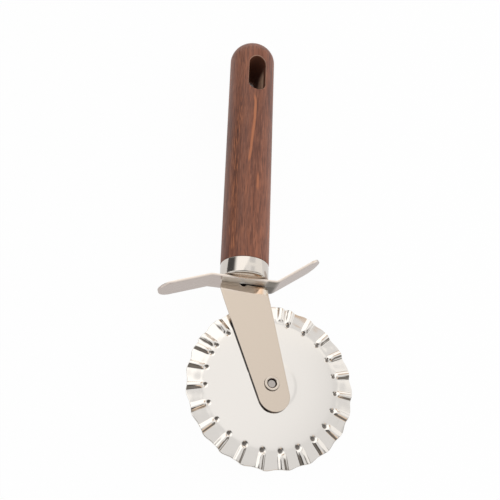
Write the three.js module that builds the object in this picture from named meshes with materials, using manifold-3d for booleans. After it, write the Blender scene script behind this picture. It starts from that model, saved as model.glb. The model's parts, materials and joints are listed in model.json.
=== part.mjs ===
// Pastry wheel: a crimped steel wheel on a bent plate, with a finger guard, a ferrule and a wooden handle.
// Millimetres, +Z up. The tool is modelled with its handle along +Y and its axle along Z, and is then
// rolled onto its side as it lies on a table, on the handle and on the guard's raised wing.

import * as THREE from "three";
import { mergeVertices } from "three/addons/utils/BufferGeometryUtils.js";
import Module from "manifold-3d";

// Clearances
const seatGap = 0.3;
const runningGap = 0.15;
const edgeBreak = 0.4;

// Handle
const handleDiameter = 19.6;
const handleLength = 110.2;
const domeHeight = 9;
const slotWidth = 7.6;
const slotLength = 18;
const slotToTop = 11.3;
const slotTwist = THREE.MathUtils.degToRad(4);

// Ferrule: a little under the handle's size, so that the two read as one rod
const ferruleInset = 0.05;
const ferruleDiameter = handleDiameter - 2 * ferruleInset;
const ferruleHeight = 6.7;
const ferruleWall = 0.5;
const ferruleRoll = 1.4;

// Tang
const tangDiameter = 3.5;
const tangInHandle = 52;
const tangPoint = 5;
const tangHeadHeight = 1.8;
const tangHeadToPlate = 0.4;

// Finger guard: corners and tips are measured from the handle's axis and from the corners
const guardWidth = 11.2;
const guardSheet = 1;
const guardBendRadius = 3;
const lowCorner = 14;
const lowWing = 21.3;
const lowWingAngle = THREE.MathUtils.degToRad(20);
const raisedCorner = 12.5;
const raisedWing = 22.8;
const raisedWingAngle = THREE.MathUtils.degToRad(36.5);

// Bracket: one plate in front of the wheel, bent at its top into a tongue under the guard
const bracketSheet = 1;
const bracketFront = 3.7;
const bracketBendRadius = 3;
const bracketLeft = -9.9;
const bracketRight = 9.4;
const bracketShoulder = 1;
const tongueLength = 5.3;
const plateEndX = 12.7;
const plateEndBelowGuard = 46.3;
const plateEndRadius = 6.05;

// Wheel
const wheelDiameter = 65;
const wheelSheet = 0.8;
const axleX = 11.57;
const axleBelowGuard = 41.5;
const bossRadius = 9.7;
const bossRise = 0.15;
const bossBlend = 1;
const fluteCount = 23;
const fluteWidth = 3.2;
const fluteHeight = 0.7;
const fluteLength = 7;
const fluteEnd = 1.2;
const pinchLength = 1.6;
const pinchDepth = 0.2;
const landSetBack = 0.9;
const rimSwing = 0.6;
const firstFlute = THREE.MathUtils.degToRad(13.9);

// Axle
const rivetDiameter = 4.4;
const rivetRolledDiameter = 5.9;
const rivetRolledHeight = 0.5;
const rivetRecessDiameter = 3.8;
const rivetRecessFloor = 2.4;
const rivetRecessDepth = 1.2;
const rivetHeadDiameter = 7;
const rivetHeadHeight = 1.5;
const sleeveWall = 0.8;
const washerDiameter = 12;
const washerThickness = 0.8;

// Facets
const roundSegments = 48;
const smallSegments = 32;
const arcSteps = 6;

// Heights along the handle's axis, from the middle of the guard's sheet
const guardTop = guardSheet / 2;
const ferruleBottom = guardTop + seatGap;
const ferruleTop = ferruleBottom + ferruleHeight;
const handleBottom = ferruleTop + seatGap;
const handleTop = handleBottom + handleLength;
const bracketTop = -guardSheet / 2 - seatGap;
const bendBottom = bracketTop - bracketBendRadius;
const taperTop = bendBottom - bracketShoulder;
const axleY = -axleBelowGuard;
const plateEndY = -plateEndBelowGuard;

// Places along the axle, from the front to the back
const rivetSeat = bracketFront + seatGap;
const bracketBack = bracketFront - bracketSheet;
const hubFront = bracketBack - runningGap;
const wheelMiddle = hubFront - bossRise - wheelSheet / 2;
const hubBack = hubFront - wheelSheet;
const washerFront = hubBack - seatGap;
const washerBack = washerFront - washerThickness;
const headSeat = washerBack - seatGap;

// Radii and half widths that several pieces share
const tangRadius = tangDiameter / 2;
const tangHole = tangRadius + seatGap;
const rivetRadius = rivetDiameter / 2;
const rivetHole = rivetRadius + seatGap;
const sleeveRadius = rivetHole + sleeveWall;
const bendEnd = bracketFront - bracketBendRadius;

const wasm = await Module();
wasm.setup();

// The closed mesh as a solid for cutting
function solidFrom(geometry) {
  const bare = geometry.clone();
  bare.deleteAttribute("normal");
  bare.deleteAttribute("uv");
  const merged = mergeVertices(bare);
  return new wasm.Manifold(
    new wasm.Mesh({
      numProp: 3,
      vertProperties: new Float32Array(merged.attributes.position.array),
      triVerts: new Uint32Array(merged.index.array),
    }),
  );
}

// The geometry with each tool's shape cut out of it
function cut(geometry, ...tools) {
  let solid = solidFrom(geometry);
  for (const tool of tools) solid = solid.subtract(solidFrom(tool));
  const { vertProperties, triVerts } = solid.getMesh();
  return meshGeometry(vertProperties, triVerts);
}

function meshGeometry(positions, triangles) {
  const geometry = new THREE.BufferGeometry();
  geometry.setAttribute("position", new THREE.Float32BufferAttribute(positions, 3));
  geometry.setIndex(new THREE.Uint32BufferAttribute(triangles, 1));
  geometry.computeVertexNormals();
  return geometry;
}

// A turned piece about Y from [radius, height] points, listed upwards along the outside
function turned(profile, segments = roundSegments) {
  const points = profile.map(([radius, height]) => new THREE.Vector2(radius, height));
  return new THREE.LatheGeometry(points, segments);
}

// The same about Z, on the wheel's axle
function turnedOnAxle(profile, segments = smallSegments) {
  return turned(profile, segments).rotateX(Math.PI / 2).translate(axleX, axleY, 0);
}

// Points on an arc or ellipse of a profile, from one angle to another
function arc(centreX, centreY, radiusX, radiusY, from, to, steps = arcSteps) {
  const points = [];
  for (let step = 0; step <= steps; step++) {
    const angle = from + ((to - from) * step) / steps;
    points.push([centreX + radiusX * Math.cos(angle), centreY + radiusY * Math.sin(angle)]);
  }
  return points;
}

function ring(inner, outer, low, high) {
  return [
    [inner, low],
    [outer, low],
    [outer, high],
    [inner, high],
    [inner, low],
  ];
}

// A line in a plane made of straight runs and bends, as a function of the distance along it
function bentLine(start, heading, segments) {
  return (distance) => {
    let [u, v] = start;
    let angle = heading;
    let left = distance;
    for (const { run = 0, turn = 0, radius = 0 } of segments) {
      const step = Math.min(left, run + Math.abs(turn) * radius);
      if (turn) {
        const signed = Math.sign(turn) * radius;
        const next = angle + step / signed;
        u += signed * (Math.sin(next) - Math.sin(angle));
        v -= signed * (Math.cos(next) - Math.cos(angle));
        angle = next;
      } else {
        u += step * Math.cos(angle);
        v += step * Math.sin(angle);
      }
      left -= step;
    }
    return { u, v, angle };
  };
}

// Bent sheet metal: the line at each distance, with the sheet's thickness and its two cut edges
function bentSheet(line, distances, thickness, edgesAt) {
  const positions = [];
  const triangles = [];
  const cornerCount = 4;
  for (const distance of distances) {
    const { u, v, angle } = line(distance);
    const across = [(-Math.sin(angle) * thickness) / 2, (Math.cos(angle) * thickness) / 2];
    const [low, high] = edgesAt(distance, v);
    positions.push(u + across[0], v + across[1], low, u + across[0], v + across[1], high);
    positions.push(u - across[0], v - across[1], high, u - across[0], v - across[1], low);
  }
  const last = (distances.length - 1) * cornerCount;
  for (let base = 0; base < last; base += cornerCount) {
    for (let side = 0; side < cornerCount; side++) {
      const a = base + side;
      const b = base + ((side + 1) % cornerCount);
      triangles.push(a, b, b + cornerCount, a, b + cornerCount, a + cornerCount);
    }
  }
  triangles.push(0, 2, 1, 0, 3, 2);
  triangles.push(last, last + 1, last + 2, last, last + 2, last + 3);
  return meshGeometry(positions, triangles);
}

// Evenly spaced values, both ends included
function spread(from, to, steps) {
  return Array.from({ length: steps + 1 }, (_, step) => from + ((to - from) * step) / steps);
}

// A round bar for drilling holes, along Y
function drill(radius, low, high) {
  const bar = new THREE.CylinderGeometry(radius, radius, high - low, smallSegments);
  return bar.translate(0, (low + high) / 2, 0);
}

// The round end of a sheet is cut off just short of its very tip, to leave a narrow edge there
const roundEnd = THREE.MathUtils.degToRad(84);

function handle() {
  const radius = handleDiameter / 2;
  const spigot = ferruleDiameter / 2 - ferruleWall - seatGap;
  const spigotBottom = ferruleBottom + ferruleWall + seatGap;
  const boreTop = handleBottom + tangInHandle + seatGap;
  const profile = [
    [0, boreTop],
    [tangHole, boreTop - tangPoint],
    [tangHole, spigotBottom],
    [spigot - ferruleRoll, spigotBottom],
    [spigot, spigotBottom + ferruleRoll],
    [spigot, handleBottom],
    [radius - edgeBreak, handleBottom],
    [radius, handleBottom + edgeBreak],
    ...arc(0, handleTop - domeHeight, radius, domeHeight, 0, Math.PI / 2, 2 * arcSteps),
  ];
  profile[profile.length - 1] = [0, handleTop];
  const slotRound = slotWidth / 2;
  const slotTop = handleTop - slotToTop - slotRound;
  const slotBottom = handleTop - slotToTop - slotLength + slotRound;
  const outline = new THREE.Shape();
  outline.absarc(0, slotTop, slotRound, 0, Math.PI);
  outline.absarc(0, slotBottom, slotRound, Math.PI, 2 * Math.PI);
  const through = { depth: 2 * handleDiameter, bevelEnabled: false, curveSegments: 2 * arcSteps };
  const slot = new THREE.ExtrudeGeometry(outline, through).translate(0, 0, -handleDiameter);
  return cut(turned(profile), slot.rotateY(slotTwist));
}

function ferrule() {
  const radius = ferruleDiameter / 2;
  const inside = ferruleRoll - ferruleWall;
  const rollX = radius - ferruleRoll;
  const rollY = ferruleBottom + ferruleRoll;
  return turned([
    [tangHole, ferruleBottom],
    ...arc(rollX, rollY, ferruleRoll, ferruleRoll, -Math.PI / 2, 0),
    [radius, ferruleTop],
    [radius - ferruleWall, ferruleTop],
    ...arc(rollX, rollY, inside, inside, 0, -Math.PI / 2),
    [tangHole, ferruleBottom + ferruleWall],
    [tangHole, ferruleBottom],
  ]);
}

// The head's top follows the inside of the bracket's bend
function tang() {
  const headRadius = bracketBack - tangHeadToPlate;
  const insideBend = bracketBendRadius - bracketSheet;
  const underBend = (radius) => {
    const out = Math.max(radius - bendEnd, 0);
    return bendBottom + Math.sqrt(insideBend ** 2 - out ** 2) - seatGap;
  };
  const headBottom = underBend(headRadius) - tangHeadHeight;
  const tip = handleBottom + tangInHandle;
  return turned(
    [
      [0, headBottom],
      [headRadius - edgeBreak, headBottom],
      [headRadius, headBottom + edgeBreak],
      [headRadius, underBend(headRadius)],
      [tangRadius, underBend(tangRadius)],
      [tangRadius, tip - tangPoint],
      [0, tip],
    ],
    smallSegments,
  );
}

const tangentLength = (angle) => guardBendRadius * Math.tan(angle / 2);
const lowRun = lowWing - tangentLength(lowWingAngle);
const raisedRun = raisedWing - tangentLength(raisedWingAngle);
const flatRun = lowCorner + raisedCorner - tangentLength(lowWingAngle) - tangentLength(raisedWingAngle);
const lowBend = lowWingAngle * guardBendRadius;
const raisedBend = raisedWingAngle * guardBendRadius;
const guardLength = lowRun + lowBend + flatRun + raisedBend + raisedRun;
const lowTip = [
  -lowCorner - lowWing * Math.cos(lowWingAngle),
  -lowWing * Math.sin(lowWingAngle),
];
const guardLine = bentLine(lowTip, lowWingAngle, [
  { run: lowRun },
  { turn: -lowWingAngle, radius: guardBendRadius },
  { run: flatRun },
  { turn: raisedWingAngle, radius: guardBendRadius },
  { run: raisedRun },
]);

function fingerGuard() {
  const half = guardWidth / 2;
  const edges = (distance) => {
    const fromTip = Math.min(distance, guardLength - distance, half);
    const width = Math.sqrt(half ** 2 - (half - fromTip) ** 2);
    return [-width, width];
  };
  const tipDistances = spread(roundEnd, 0, 2 * arcSteps).map((angle) => half * (1 - Math.sin(angle)));
  const distances = [
    ...tipDistances,
    ...spread(lowRun, lowRun + lowBend, arcSteps),
    ...spread(guardLength - raisedRun - raisedBend, guardLength - raisedRun, arcSteps),
    ...tipDistances.map((distance) => guardLength - distance).reverse(),
  ];
  const strip = bentSheet(guardLine, distances, guardSheet, edges);
  return cut(strip, drill(tangHole, -2 * guardSheet, 2 * guardSheet));
}

// The angle, from straight down, of a plate's edge that leaves [x, taperTop] and touches the round end
function edgeSlant(x, side) {
  const out = plateEndX - x;
  const down = taperTop - plateEndY;
  return Math.atan2(out, down) + side * Math.asin(plateEndRadius / Math.hypot(out, down));
}

const leftSlant = edgeSlant(bracketLeft, -1);
const rightSlant = edgeSlant(bracketRight, 1);

// The plate's left and right edge at a height: straight below the bend, then slanted, then round
function plateEdges(y) {
  const down = Math.max(taperTop - y, 0);
  const roundHalf = Math.sqrt(Math.max(plateEndRadius ** 2 - (y - plateEndY) ** 2, 0));
  const onLeftRound = y < plateEndY - plateEndRadius * Math.sin(leftSlant);
  const onRightRound = y < plateEndY + plateEndRadius * Math.sin(rightSlant);
  return [
    onLeftRound ? plateEndX - roundHalf : bracketLeft + down * Math.tan(leftSlant),
    onRightRound ? plateEndX + roundHalf : bracketRight + down * Math.tan(rightSlant),
  ];
}

// From the bend on, the plate narrows in a half ellipse to the tongue's end
function bracket() {
  const lowest = plateEndY - plateEndRadius * Math.sin(roundEnd);
  const plateRun = bendBottom - lowest;
  const bendLine = bracketBendRadius - bracketSheet / 2;
  const bendRun = (Math.PI / 2) * bendLine;
  const narrowRun = bendRun + tongueLength;
  const line = bentLine([bracketSheet / 2 - bracketFront, lowest], Math.PI / 2, [
    { run: plateRun },
    { turn: -Math.PI / 2, radius: bendLine },
    { run: tongueLength },
  ]);
  const edges = (distance, y) => {
    if (distance <= plateRun) return plateEdges(y);
    const along = (distance - plateRun) / narrowRun;
    const half = ((bracketRight - bracketLeft) / 2) * Math.sqrt(1 - along ** 2);
    const centre = (bracketRight + bracketLeft) / 2;
    return [centre - half, centre + half];
  };
  const roundAngles = [
    ...spread(-roundEnd, -leftSlant, 2 * arcSteps),
    ...spread(-leftSlant, rightSlant, arcSteps).slice(1),
  ];
  const narrowAngles = spread(Math.asin(bendRun / narrowRun), roundEnd, 2 * arcSteps).slice(1);
  const distances = [
    ...roundAngles.map((angle) => plateEndY + plateEndRadius * Math.sin(angle) - lowest),
    taperTop - lowest,
    ...spread(plateRun, plateRun + bendRun, arcSteps),
    ...narrowAngles.map((angle) => plateRun + narrowRun * Math.sin(angle)),
  ];
  const sheet = bentSheet(line, distances, bracketSheet, edges).rotateY(Math.PI / 2);
  const axleHole = drill(rivetHole, 0, 2 * bracketFront);
  axleHole.rotateX(Math.PI / 2).translate(axleX, axleY, 0);
  const tangWay = drill(tangHole, bendBottom, guardSheet);
  return cut(sheet, axleHole, tangWay);
}

// Angles around the wheel, clockwise from +Y as seen from the front: across each flute and its land.
// share runs from -1 to 1 across a flute, and out runs from 0.5 to -0.5 there and back along the land.
function wheelStations() {
  const pitch = (2 * Math.PI) / fluteCount;
  const half = fluteWidth / wheelDiameter;
  const land = pitch - 2 * half;
  const stations = [];
  for (let flute = 0; flute < fluteCount; flute++) {
    const middle = firstFlute + flute * pitch;
    for (const share of [-1, -0.5, 0, 0.5, 1]) {
      stations.push({ angle: middle + share * half, share, out: -share / 2 });
    }
    for (const along of [1 / 3, 2 / 3]) {
      stations.push({ angle: middle + half + along * land, share: 1, out: along - 0.5 });
    }
  }
  return stations;
}

// Rings of the wheel, from the bore to the rim: how far the sheet stands out or is set back there, how
// high the flutes stand over it, and how much of a flute's width they take up. A small pinch lies at the
// inner end of each flute.
function wheelRings() {
  const rim = wheelDiameter / 2;
  const fluteStart = rim - fluteLength;
  const pinchHalf = pinchLength / 2;
  return [
    { radius: sleeveRadius + runningGap, rise: bossRise },
    { radius: bossRadius - bossBlend / 2, rise: bossRise },
    { radius: bossRadius + bossBlend / 2 },
    { radius: fluteStart - pinchLength },
    { radius: fluteStart - pinchHalf, height: -pinchDepth, width: pinchLength / fluteWidth },
    { radius: fluteStart },
    { radius: fluteStart + fluteEnd, rise: -landSetBack, height: fluteHeight },
    { radius: rim, rise: -landSetBack, height: fluteHeight, swing: rimSwing },
  ];
}

function crimpedWheel() {
  const stations = wheelStations();
  const rings = wheelRings();
  const count = stations.length;
  const positions = [];
  const triangles = [];
  const faces = [wheelMiddle + wheelSheet / 2, wheelMiddle - wheelSheet / 2];
  for (const face of faces) {
    for (const { radius, rise = 0, height = 0, width = 1, swing = 0 } of rings) {
      for (const { angle, share, out } of stations) {
        const reach = radius + swing * out;
        const across = Math.min(Math.abs(share) / width, 1);
        const bulge = height * Math.cos((across * Math.PI) / 2) ** 2;
        positions.push(axleX + reach * Math.sin(angle), axleY + reach * Math.cos(angle));
        positions.push(face + rise + bulge);
      }
    }
  }
  const vertex = (face, level, station) => (face * rings.length + level) * count + (station % count);
  const quad = (a, b, c, d) => triangles.push(a, b, c, a, c, d);
  const rim = rings.length - 1;
  for (let s = 0; s < count; s++) {
    for (let level = 0; level < rim; level++) {
      const next = level + 1;
      quad(vertex(0, level, s), vertex(0, level, s + 1), vertex(0, next, s + 1), vertex(0, next, s));
      quad(vertex(1, next, s), vertex(1, next, s + 1), vertex(1, level, s + 1), vertex(1, level, s));
    }
    quad(vertex(0, rim, s), vertex(0, rim, s + 1), vertex(1, rim, s + 1), vertex(1, rim, s));
    quad(vertex(1, 0, s), vertex(1, 0, s + 1), vertex(0, 0, s + 1), vertex(0, 0, s));
  }
  return meshGeometry(positions, triangles);
}

// Domed head behind, rolled hollow end in front
function axleRivet() {
  const front = rivetSeat + rivetRolledHeight;
  const roll = rivetRolledHeight / 2;
  const rolledRadius = rivetRolledDiameter / 2;
  const recess = rivetRecessDiameter / 2;
  const headRadius = rivetHeadDiameter / 2;
  const dome = arc(0, headSeat, headRadius, rivetHeadHeight, -Math.PI / 2, 0);
  dome[0] = [0, headSeat - rivetHeadHeight];
  return turnedOnAxle([
    ...dome,
    [rivetRadius, headSeat],
    [rivetRadius, rivetSeat],
    ...arc(rolledRadius - roll, rivetSeat + roll, roll, roll, -Math.PI / 2, Math.PI / 2),
    ...arc(recess + roll, front - roll, roll, roll, Math.PI / 2, Math.PI, arcSteps / 2),
    [rivetRecessFloor / 2, front - rivetRecessDepth],
    [0, front - rivetRecessDepth],
  ]);
}

// The wheel turns on the sleeve, which is held between the plate and the washer
function axleSleeve() {
  return turnedOnAxle(ring(rivetHole, sleeveRadius, washerFront + seatGap, bracketBack - seatGap));
}

function rearWasher() {
  return turnedOnAxle(ring(rivetHole, washerDiameter / 2, washerBack, washerFront));
}

// Finishes: colour, roughness, metalness
const wood = new THREE.MeshStandardMaterial({ color: 0x7d5041, roughness: 0.55, metalness: 0 });
const polished = new THREE.MeshStandardMaterial({ color: 0xe6e1dc, roughness: 0.15, metalness: 1 });
const satin = new THREE.MeshStandardMaterial({ color: 0xd8c9ba, roughness: 0.35, metalness: 1 });
const brushed = new THREE.MeshStandardMaterial({ color: 0xc9c0ba, roughness: 0.3, metalness: 1 });
const plain = new THREE.MeshStandardMaterial({ color: 0xb4b0ac, roughness: 0.45, metalness: 1 });

const pieces = [
  ["handle", handle, wood],
  ["ferrule", ferrule, polished],
  ["tang", tang, plain],
  ["finger_guard", fingerGuard, brushed],
  ["bracket", bracket, satin],
  ["crimped_wheel", crimpedWheel, polished],
  ["axle_rivet", axleRivet, polished],
  ["axle_sleeve", axleSleeve, plain],
  ["rear_washer", rearWasher, plain],
];

const tool = new THREE.Group();
for (const [name, make, material] of pieces) {
  const mesh = new THREE.Mesh(make(), material);
  mesh.name = name;
  tool.add(mesh);
}

// The roll at which the handle and the edge of the raised wing both touch the table
const wingRound = guardLine(guardLength - guardWidth / 2);
const wingReach = wingRound.u + (guardSheet / 2) * Math.sin(raisedWingAngle);
const wingHalf = guardWidth / 2;
tool.rotation.y =
  Math.asin(handleDiameter / 2 / Math.hypot(wingReach, wingHalf)) - Math.atan2(wingHalf, wingReach);

// The origin is on the table, under the middle of the tool's box
tool.updateMatrixWorld(true);
const bounds = new THREE.Box3().setFromObject(tool, true);
const middle = bounds.getCenter(new THREE.Vector3());
tool.position.set(-middle.x, -middle.y, -bounds.min.z);

const pastryWheel = new THREE.Group();
pastryWheel.add(tool);

export default pastryWheel;
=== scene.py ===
"""Looks of a pastry wheel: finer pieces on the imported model, procedural wood and steel, studio light.

The pieces are shaped in millimetres in the tool's own frame: the handle along +Y, the axle along Z, and
the middle of the guard's sheet at Y = 0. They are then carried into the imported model's frame, where the
tool lies on a table.
"""

import json
from math import asin, atan2, copysign, cos, degrees, hypot, pi, radians, sin, sqrt, tan

import bmesh
import bpy
from mathutils import Matrix, Vector


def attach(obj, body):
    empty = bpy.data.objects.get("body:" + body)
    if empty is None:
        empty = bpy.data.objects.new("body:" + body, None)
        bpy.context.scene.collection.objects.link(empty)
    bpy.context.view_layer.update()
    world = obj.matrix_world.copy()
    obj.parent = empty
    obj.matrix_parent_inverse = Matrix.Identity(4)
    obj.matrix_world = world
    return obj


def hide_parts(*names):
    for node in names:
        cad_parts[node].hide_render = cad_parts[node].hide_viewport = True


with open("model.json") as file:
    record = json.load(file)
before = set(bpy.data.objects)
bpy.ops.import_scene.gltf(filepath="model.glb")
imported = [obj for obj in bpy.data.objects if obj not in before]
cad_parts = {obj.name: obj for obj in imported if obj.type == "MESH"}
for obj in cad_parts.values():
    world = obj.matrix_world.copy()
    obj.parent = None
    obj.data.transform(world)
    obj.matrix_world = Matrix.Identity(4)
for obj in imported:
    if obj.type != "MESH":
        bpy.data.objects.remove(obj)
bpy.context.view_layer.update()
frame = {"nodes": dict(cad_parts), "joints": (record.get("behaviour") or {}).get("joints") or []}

MM = 0.001
BODY = "tool_frame"
WHEEL_BODY = "wheel"

# Handle
HANDLE_RADIUS = 9.8
HANDLE_BOTTOM = 7.76
HANDLE_TOP = 118.0
DOME_HEIGHT = 9.0
HANDLE_EDGE = 0.35
ROD_ABOVE_EDGE = 3.0
ROD_BELOW_DOME = 1.5
SPIGOT_RADIUS = 8.95
SPIGOT_BOTTOM = 1.6
SPIGOT_CHAMFER = 1.4
TANG_BORE = 2.05
TANG_BORE_TOP = 60.1
SLOT_HALF = 3.8
SLOT_LENGTH = 18.0
SLOT_TO_TOP = 11.3
SLOT_CHAMFER = 0.4
FLARE_TURN = 1.4
FLARE_OUT = 1.6
SLOT_TAPER = 0.4
SLOT_TWIST = radians(4.0)

# Ferrule
FERRULE_RADIUS = 9.75
FERRULE_BOTTOM = 0.56
FERRULE_TOP = 7.72
FERRULE_WALL = 0.5
FERRULE_ROLL = 0.9
FERRULE_ROLL_IN = 3.0
FERRULE_LIP = 0.2

# Finger guard
GUARD_WIDTH = 11.2
GUARD_SHEET = 1.0
GUARD_BEND = 3.0
LOW_CORNER = 14.0
LOW_WING = 21.3
LOW_ANGLE = radians(20)
RAISED_CORNER = 12.5
RAISED_WING = 22.8
RAISED_ANGLE = radians(36.5)
SHEET_EDGE = 0.32
PLATE_EDGE = 0.08

# Bracket: one plate with a sloping crease, a slanted facet above it and a tongue under the guard
BRACKET_SHEET = 0.9
BRACKET_FRONT = 3.7
BRACKET_TOP = -0.54
BRACKET_TOP_Z = 1.15
BRACKET_CREASE = -5.1
CREASE_SLOPE = -0.058
CREASE_REACH = 4.4
TOP_BEND = 0.47
TOP_SLOPE = 0.035
CREASE_BEND = 0.6
BRACKET_LEFT = -9.9
BRACKET_RIGHT = 9.4
TONGUE_RUN = 4.2
TONGUE_POWER = 3.0
PLATE_END_X = 12.7
PLATE_END_Y = -46.3
PLATE_END_RADIUS = 6.05
TANG_HOLE = 1.9
TANG_HOLE_X = -0.5
CORNER_FROM = 2.4
CORNER_FULL = 6.4
CORNER_END = (8.3, 9.4)
CORNER_BACK = 0.6
CORNER_FILL = 0.85
CORNER_ROUNDS = (0.55, 1)
TOP_OPENS = -2.0
TOP_CLOSES = (4.2, 6.8)
TOP_CLOSED = 0.7
SHARP_SHARE = 0.8
SHARP_TO = (-1.6, 1.2)
FLANK = atan2(BRACKET_FRONT - BRACKET_TOP_Z, BRACKET_TOP - BRACKET_CREASE)

# Tang: a pin with a thinner neck in the guard and the tongue
TANG_RADIUS = 1.75
TANG_NECK = 1.0
TANG_CHAMFER = 0.4
TANG_SHOULDER = 0.58
TANG_END = -2.6
TANG_TAPER = 54.8
TANG_TIP = 59.8
GUARD_HOLE = 1.05

# Wheel
AXLE_X = 11.57
AXLE_Y = -41.5
AXLE_Z = 2.0
WHEEL_RADIUS = 32.35
WHEEL_DISH = 0.35
WHEEL_SHEET = 0.8
WHEEL_BORE = 3.45
BOSS_RADIUS = 9.7
BOSS_BLEND = 1.6
BOSS_RISE = 0.06
FLUTE_PITCH = radians(360 / 23)
FIRST_FLUTE = radians(13.9)
EVEN_FLUTES = 18
ODD_FLUTES = [radians(a) for a in (293.6, 302.0, 317.4, 335.5, 350.0, 367.0)]
FLUTE_HALF = radians(3.0)
FLUTE_HEIGHT = 0.68
CREST_Z = 2.58
FLUTE_REACH = radians(5.2)
CLOSEST = 0.47
FLUTE_VARIES = 0.16
FLUTE_TURNS = 7
WIDTH_VARIES = 0.1
WIDTH_TURNS = 23
WIDE_SIDE = 0.5
WIDE_FROM = (radians(95), radians(135))
WIDE_TO = (radians(172), radians(182))
STEEP_FROM = (radians(255), radians(280))
STEEPER = 0.3
FLUTE_FROM = 25.5
FLUTE_FULL = 27.4
FLUTE_FOOT = 0.16
LAND_SET_BACK = 0.9
LAND_FROM = 25.6
LAND_BLEND = 0.8
PIT_AT = 25.4
PIT_LENGTH = 1.2
PIT_GENTLE = 1.35
PIT_STEEP = 1.0
PIT_DEPTH = 0.34
PIT_LARGER = 0.4
LARGER_FROM = (radians(95), radians(135))
LARGER_TO = (radians(185), radians(235))
PIT_SHADE_SHIFT = 0.3
PIT_SHADE_EDGE = (0.15, 0.75)
RIM_WAVE = 0.05
WAVE_TURNS = (19, 13)
WAVE_OUTWARD = (0.7, -0.9)
RIM_SWING = 0.6
SWING_FROM = 27.0
RIM_ROUND = 0.2
HUB_RING = 6.5
DISC_RINGS = [13, 17, 21]
PIT_MARGIN = 1.5
RIM_RINGS = [28.3, 29.2, 30.2, 31.3]

# Axle rivet and washer
RIVET_RADIUS = 2.2
RIVET_HOLE = 2.4
RIVET_SEAT = 3.74
HEAD_SEAT = 0.6
ROLLED_RADIUS = 2.95
ROLLED_HEIGHT = 0.55
RECESS_RADIUS = 1.85
RECESS_FLOOR = 1.45
RECESS_DEPTH = 0.8
RIVET_HEAD_RADIUS = 3.5
RIVET_HEAD_HEIGHT = 1.5
WASHER_RADIUS = 6.0
WASHER_BACK = 0.64
WASHER_FRONT = 1.5
WASHER_EDGE = 0.15

# Fineness of the meshes
ROUND_STEPS = 160
SMALL_STEPS = 96
BEND_STEPS = 12
TIP_STEPS = 24
EDGE_STEPS = 4
ROD_STEPS = 62
DOME_STEPS = 28
SLOT_STEPS = 20
FLARE_STEPS = 5
BEVEL_STEPS = 3
SHEET_ACROSS = 8
PLATE_ACROSS = 32
PLATE_STEPS = 12
CREASE_STEPS = 6
FLUTE_STEPS = 26
LAND_STEPS = 6
BOSS_STEPS = 6
PIT_STEPS = 22
RECESS_STEPS = 6
ROUND_TIP = radians(86)
SMOOTH_ANGLE = radians(32)
SHARP_ANGLE = radians(60)
WELD = 1e-5

# The joint gives the tool's place: the axle's point and the lean of the axle from the vertical
spin = frame["joints"][0]
lean = atan2(spin["axis"][0], spin["axis"][2])
to_row = (
    Matrix.Translation(spin["pos_m"])
    @ Matrix.Rotation(lean, 4, "Y")
    @ Matrix.Scale(MM, 4)
    @ Matrix.Translation((-AXLE_X, -AXLE_Y, -AXLE_Z))
)
tool_origin = to_row @ Vector((0, 0, 0))


def spread(low, high, steps):
    """Evenly spaced values, both ends included."""
    return [low + (high - low) * step / steps for step in range(steps + 1)]


def smooth(low, high, value):
    """0 below low, 1 above high, and an even S between."""
    t = min(max((value - low) / (high - low), 0), 1)
    return t * t * (3 - 2 * t)


def arc(x, y, radius_x, radius_y, start, end, steps=BEND_STEPS):
    """Points of an arc in a profile."""
    return [
        (x + radius_x * cos(angle), y + radius_y * sin(angle))
        for angle in spread(start, end, steps)
    ]


def about_y(radius, angle, height):
    """A turned point of the handle and what is in line with it."""
    return (radius * sin(angle), height, radius * cos(angle))


def about_hole(radius, angle, height):
    """A turned point of the bracket's hole for the tang, a little off the handle's middle."""
    x, y, z = about_y(radius, angle, height)
    return (x + TANG_HOLE_X, y, z)


def about_axle(radius, angle, height):
    """A turned point of what is on the wheel's axle."""
    return (AXLE_X + radius * sin(angle), AXLE_Y + radius * cos(angle), height)


def loft(bm, rings):
    """Faces between closed rings of points. A ring of one point is a pole."""
    made = [[bm.verts.new(point) for point in ring] for ring in rings]
    for low, high in zip(made, made[1:]):
        count = max(len(low), len(high))
        for i in range(count):
            j = (i + 1) % count
            corners = [low[i % len(low)], low[j % len(low)], high[j % len(high)], high[i % len(high)]]
            bm.faces.new(list(dict.fromkeys(corners)))
    return made


def turned(profile, place, steps):
    """A turned solid from (radius, height) points; it is closed by poles or by its own profile."""
    bm = bmesh.new()
    angles = [2 * pi * step / steps for step in range(steps)]
    rings = []
    for radius, height in profile:
        spokes = angles if radius > 0 else [0]
        rings.append([place(radius, angle, height) for angle in spokes])
    loft(bm, rings)
    bmesh.ops.remove_doubles(bm, verts=bm.verts, dist=WELD)
    return bm


def in_scene(name, data):
    """A new object of the data, linked to the scene."""
    made = bpy.data.objects.new(name, data)
    bpy.context.scene.collection.objects.link(made)
    return made


def mesh_object(bm, name):
    mesh = bpy.data.meshes.new(name)
    bm.to_mesh(mesh)
    bm.free()
    return in_scene(name, mesh)


def as_object(bm, name):
    """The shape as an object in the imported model's frame."""
    bmesh.ops.recalc_face_normals(bm, faces=bm.faces)
    bm.transform(to_row)
    return mesh_object(bm, name)


def cut(target, *tools):
    """Cuts the tools' shapes out of the target."""
    for tool in tools:
        modifier = target.modifiers.new("cut", "BOOLEAN")
        modifier.object = tool
        modifier.operation = "DIFFERENCE"
        modifier.solver = "EXACT"
    bpy.context.view_layer.update()
    evaluated = target.evaluated_get(bpy.context.evaluated_depsgraph_get())
    target.data = bpy.data.meshes.new_from_object(evaluated)
    target.modifiers.clear()
    for tool in tools:
        bpy.data.objects.remove(tool)
    return target


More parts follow.
